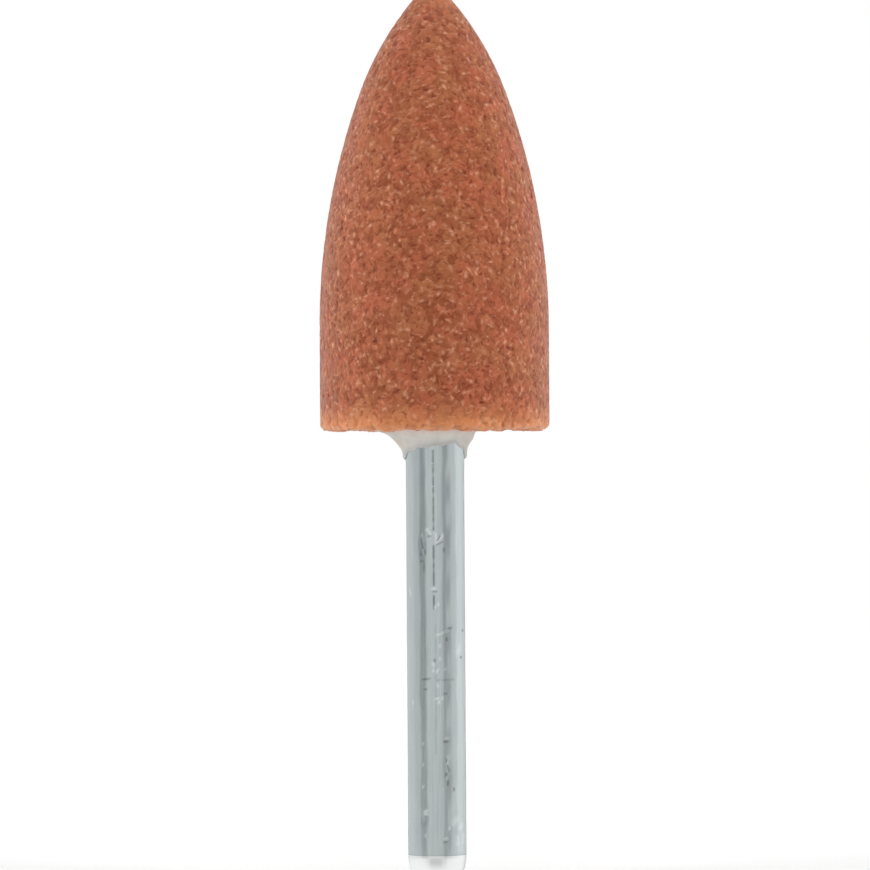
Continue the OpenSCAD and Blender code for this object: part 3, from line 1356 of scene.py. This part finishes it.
@dataclass
class BondingCement:
    """The cement, which fills the bore round the keyed end and forms an uneven collar below the head."""

    # How far it is pressed into the pores of the head's base, and how much narrower its skirt is there
    pressed: float = 0.12
    pressed_in: float = 0.05
    # Depth over which its skirt thins out along the base
    skirt_fall: float = 0.13
    # Shares of its drop between which its body thins down to the film
    body_fall: Point = (0.1, 0.9)
    # Height above its lip over which it thins out enough for the steel to show through
    thinning: float = 0.5
    # Height of its rounded lip, against the lip's thickness, and the turns at which the lip has rings
    lip: float = 1.1
    lip_turns: Point = (30.0, 60.0)
    columns: int = 220
    rows: int = 64
    # How much its rows crowd towards the base
    crowding: float = 1.5
    # Sizes and numbers of the waves in its lower edge and in its skirt
    edge_wave: float = 0.012
    edge_waves: tuple[int, ...] = (9, 14, 23, 31)
    skirt_wave: float = 0.06
    skirt_waves: tuple[int, ...] = (5, 8, 13, 21)
    # Height of its lumps, and for each wave of them its number, its turn from base to lip, and its start
    lump: float = 0.02
    lump_waves: tuple[tuple[int, float, float], ...] = ((3, 5, 0.4), (5, -7, 2.1), (8, 9, 4.0), (13, 12, 1.3))
    # Depth below the head to which stone dust lies on it, and the dust's least and greatest share
    dust_depth: float = 0.4
    dust_share: Point = (0.3, 0.7)
    stations: tuple[Station, ...] = (
        Station(-90, 1.45, 0.7, 0.17, 3.8),
        Station(-58, 1.16, 0.68, 0.03, 3.4),
        Station(-24, 0.97, 0.62, 0.012, 2.9),
        Station(8, 0.88, 0.52, 0.012, 2.6),
        Station(38, 0.76, 0.42, 0.012, 2.5),
        Station(66, 1.02, 0.36, 0.02, 2.5),
        Station(94, 1.44, 0.36, 0.15, 2.6),
        Station(124, 1.25, 0.45, 0.1, 2.6),
        Station(160, 1.05, 0.58, 0.06, 2.9),
        Station(200, 1.0, 0.66, 0.06, 3.1),
        Station(236, 1.25, 0.7, 0.12, 3.5),
    )
    finish: SetCement = field(default_factory=SetCement)

    def round_the_shank(self, part: str, angle: np.ndarray) -> np.ndarray:
        """Reads a station value at any angle, eased between stations.

        Args:
            part: Name of the value.
            angle: Angles round the shank.

        Returns:
            The value at each angle.
        """
        stops = np.array([station.angle for station in self.stations])
        values = np.array([getattr(station, part) for station in self.stations])
        stops, values = np.r_[stops, stops[0] + 360], np.r_[values, values[0]]
        turn = (np.degrees(angle) - stops[0]) % 360
        before = np.searchsorted(stops - stops[0], turn, side="right") - 1
        width = stops[before + 1] - stops[before]
        share = smooth_step(0, 1, (turn - (stops[before] - stops[0])) / width)
        return values[before] + (values[before + 1] - values[before]) * share

    def ripple(
        self, size: float, numbers: Sequence[int], angle: np.ndarray, rng: np.random.Generator
    ) -> np.ndarray:
        """Adds up waves of one size round the shank, each with its own number of crests and its own start."""
        return sum(size * np.sin(number * angle + rng.uniform(0, 2 * math.pi)) for number in numbers)

    def build(self, head: AbrasiveHead, spindle: Spindle) -> bpy.types.Object:
        """Builds the cement between the head and the spindle.

        Args:
            head: The head whose bore it fills.
            spindle: The spindle that it holds.

        Returns:
            The cement's object.
        """
        rng = np.random.default_rng(SEED + 2)
        count = self.columns
        angle = np.arange(count) * (2 * math.pi / count)
        drop, body, film, skirt = (
            self.round_the_shank(part, angle) for part in ("drop", "body", "film", "skirt")
        )
        drop = drop + self.ripple(self.edge_wave, self.edge_waves, angle, rng)
        skirt = skirt + self.ripple(self.skirt_wave, self.skirt_waves, angle, rng)
        base_z, wall = spindle.base_z, spindle.shank_r
        end_z = base_z + head.bore_len
        rings = [
            even_ring(count, head.bore_r / 2, end_z),
            even_ring(count, head.bore_r, end_z),
            even_ring(count, head.bore_r, base_z + self.pressed),
            even_ring(count, skirt - self.pressed_in, base_z + self.pressed),
            even_ring(count, skirt, base_z),
        ]
        flare = skirt - (wall + film + body)
        for share in np.linspace(0, 1, self.rows)[1:] ** self.crowding:
            depth = drop * share
            lumps = math.sin(math.pi * share) * sum(
                np.sin(number * angle + twist * share + start) for number, twist, start in self.lump_waves
            )
            thick = film + (body + self.lump * lumps) * (1 - smooth_step(*self.body_fall, share))
            spread = flare * np.exp(-depth / self.skirt_fall)
            rings.append(even_ring(count, wall + thick + spread, base_z - depth))
        for turn in np.radians(self.lip_turns):
            height = base_z - drop - film * math.sin(turn) * self.lip
            rings.append(even_ring(count, wall + film * math.cos(turn), height))
        rings.append(even_ring(count, wall, base_z - drop - film * self.lip))
        for radius, height in spindle.keyed_section()[::-1]:
            rings.append(even_ring(count, radius, height))
        skin = TurnedSkin(rings, end_z, spindle.end_z)
        speckle = rng.uniform(*self.dust_share, len(skin.angle))
        dust = (1 - smooth_step(0, self.dust_depth, base_z - skin.height)) * speckle
        lip_z = np.concatenate([base_z - self.round_the_shank("drop", ring.angle) for ring in rings])
        thin = 1 - smooth_step(0.0, self.thinning, skin.height - lip_z)
        return skin.make("bonding_cement_collar", True, {Shade.DUST.value: dust, Shade.FILM.value: thin})

    def dress(self, piece: bpy.types.Object) -> None:
        """Gives the cement its finish and its place in the frame."""
        piece.data.materials.append(self.finish.material())
        settle(piece, "bonding_cement")


def settle(piece: bpy.types.Object, node: str) -> None:
    """Puts a piece in the frame.

    Args:
        piece: The piece's object.
        node: Solid that it stands for.
    """
    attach(piece, "root")
    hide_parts(node)


@dataclass(frozen=True)
class Card:
    """A curved card round the part, from one direction to another, in degrees, with an even grey level.

    Attributes:
        first: Direction of its left edge.
        last: Direction of its right edge.
        level: Its grey level.
        low: Height of its lower edge.
        high: Height of its upper edge.
    """

    first: float
    last: float
    level: float
    low: float = -250.0
    high: float = 350.0


@dataclass(frozen=True)
class Softbox:
    """A square soft lamp that looks at the part.

    Attributes:
        name: Its name.
        angle: Its direction from the part, in degrees.
        height: Its height above the floor.
        power: Its power, in watts.
        size: Its width.
        away: Its level distance from the part.
    """

    name: str
    angle: float
    height: float
    power: float
    size: float = 600.0
    away: float = 700.0


@dataclass
class Studio:
    """Pale floor and backdrop, soft lamps on both sides, grey cards for the metal to show, and the camera."""

    floor_r: float = 420.0
    floor_sides: int = 96
    # Brightness of the backdrop as a lamp, against its white
    fill: float = 0.09
    lamps: tuple[Softbox, ...] = (
        Softbox("left_softbox", -74, 340, 5.6),
        Softbox("right_softbox", 74, 340, 5.6),
        Softbox("top_softbox", 0, 900, 1.6, size=700.0, away=150.0),
    )
    cards: tuple[Card, ...] = (
        # Behind on the left, then round to the front
        Card(-176, -158, 0.5),
        Card(-158, -108, 0.8, CARD_SPLIT),
        Card(-108, -92, 0.72, CARD_SPLIT),
        Card(-92, -63, 0.66, CARD_SPLIT),
        Card(-63, -45, 0.38, CARD_SPLIT),
        Card(-45, -36, 0.66, CARD_SPLIT),
        Card(-36, 17, 0.8, CARD_SPLIT),
        # Lower row in front, which the lead shows
        Card(-50, -28, 0.8, high=CARD_SPLIT),
        Card(-28, 20, 0.56, high=CARD_SPLIT),
        Card(20, 48, 0.78, high=CARD_SPLIT),
        # On round the right, then behind
        Card(17, 30, 0.7, CARD_SPLIT),
        Card(30, 49, 0.43, CARD_SPLIT),
        Card(49, 58, 0.68, CARD_SPLIT),
        Card(58, 84, 0.76, CARD_SPLIT),
        Card(126, 156, 0.85),
        Card(156, 172, 0.5),
    )
    card_r: float = 450.0
    card_steps: int = 8
    # Distance of the camera, how much its picture takes in at the part, and the picture's middle and roll
    view_away: float = 380.0
    view_size: float = 47.4
    view_z: float = 24.29
    view_x: float = 0.005
    view_roll: float = 0.36
    sensor: float = 36.0

    def build_world(self) -> None:
        """Makes a backdrop that is white to the camera and the metal, and a softer fill for all else."""
        world = bpy.data.worlds.new("white_backdrop")
        bpy.context.scene.world = world
        world.use_nodes = True
        tree = world.node_tree
        tree.nodes.clear()
        path = add_node(tree, "ShaderNodeLightPath")
        seen = path.outputs["Is Camera Ray"]
        for ray in ("Is Glossy Ray", "Is Transmission Ray"):
            either = add_node(tree, "ShaderNodeMath", {0: seen, 1: path.outputs[ray]}, operation="MAXIMUM")
            seen = either.outputs[0]
        strength = add_node(tree, "ShaderNodeMapRange", {"Value": seen, "To Min": self.fill})
        backdrop = add_node(
            tree, "ShaderNodeBackground", {"Color": (1, 1, 1, 1), "Strength": strength.outputs[0]}
        )
        add_node(tree, "ShaderNodeOutputWorld", {"Surface": backdrop.outputs[0]})

    def build_floor(self) -> None:
        """Lays the floor under the part. The metal shows the backdrop in its place, which is as white."""
        turn = np.linspace(0, 2 * math.pi, self.floor_sides + 1)[:-1]
        rim = np.column_stack([np.cos(turn), np.sin(turn), np.zeros(len(turn))]) * self.floor_r * MM
        mesh = bpy.data.meshes.new("studio_floor")
        mesh.from_pydata(rim, [], [range(len(turn))])
        mesh.materials.append(StudioPaper(self.floor_r).material())
        floor = add_object("studio_floor", mesh)
        floor.visible_glossy = False

    def build_cards(self) -> None:
        """Stands the grey cards round the part, where only the metal shows them."""
        count = self.card_steps + 1
        faces = [(i, i + 1, count + i + 1, count + i) for i in range(self.card_steps)]
        for number, card in enumerate(self.cards):
            angle = np.radians(np.linspace(card.first, card.last, count))
            x, y = self.card_r * np.sin(angle), -self.card_r * np.cos(angle)
            low, high = (np.column_stack([x, y, np.full(count, z)]) for z in (card.low, card.high))
            mesh = bpy.data.meshes.new(f"grey_card_{number}")
            mesh.from_pydata(np.vstack([low, high]) * MM, [], faces)
            mesh.materials.append(CardGrey(f"grey_card_{number}", card.level).material())
            stand = add_object(f"grey_card_{number}", mesh)
            stand.visible_camera = False
            stand.visible_diffuse = False
            stand.visible_transmission = False
            stand.visible_shadow = False

    def build_lamps(self) -> None:
        """Hangs the softboxes, which the metal doesn't show."""
        middle = Vector((0, 0, self.view_z * MM))
        for box in self.lamps:
            light = bpy.data.lights.new(box.name, "AREA")
            light.size = box.size * MM
            light.energy = box.power
            lamp = add_object(box.name, light)
            turn = math.radians(box.angle)
            lamp.location = Vector((math.sin(turn) * box.away, -math.cos(turn) * box.away, box.height)) * MM
            lamp.rotation_euler = (middle - lamp.location).to_track_quat("-Z", "Y").to_euler()
            lamp.visible_glossy = False

    def build_camera(self) -> None:
        """Sets the camera level in front of the part, and rolls it by the part's lean in the picture."""
        camera = bpy.data.cameras.new("front_camera")
        camera.sensor_width = self.sensor
        camera.lens = self.sensor * self.view_away / self.view_size
        stand = add_object("front_camera", camera)
        upright = Matrix.Rotation(math.radians(90), 4, "X")
        roll = Matrix.Rotation(math.radians(-self.view_roll), 4, "Z")
        place = Matrix.Translation(Vector((self.view_x, -self.view_away, self.view_z)) * MM)
        stand.matrix_world = place @ upright @ roll
        bpy.context.scene.camera = stand

    def build(self) -> None:
        """Builds the whole studio."""
        bpy.context.scene.view_settings.view_transform = "Standard"
        self.build_world()
        self.build_floor()
        self.build_cards()
        self.build_lamps()
        self.build_camera()


def main() -> None:
    """Builds the pieces and the studio in order, and reports each piece."""
    logging.basicConfig(level=logging.INFO, format="%(message)s")
    head, spindle, cement = AbrasiveHead(), Spindle(), BondingCement()
    built = ((head, head.build()), (spindle, spindle.build()), (cement, cement.build(head, spindle)))
    for part, piece in built:
        part.dress(piece)
        log.info("%s: %d triangles", piece.name, len(piece.data.polygons))
    Studio().build()


if __name__ == "__main__":
    main()
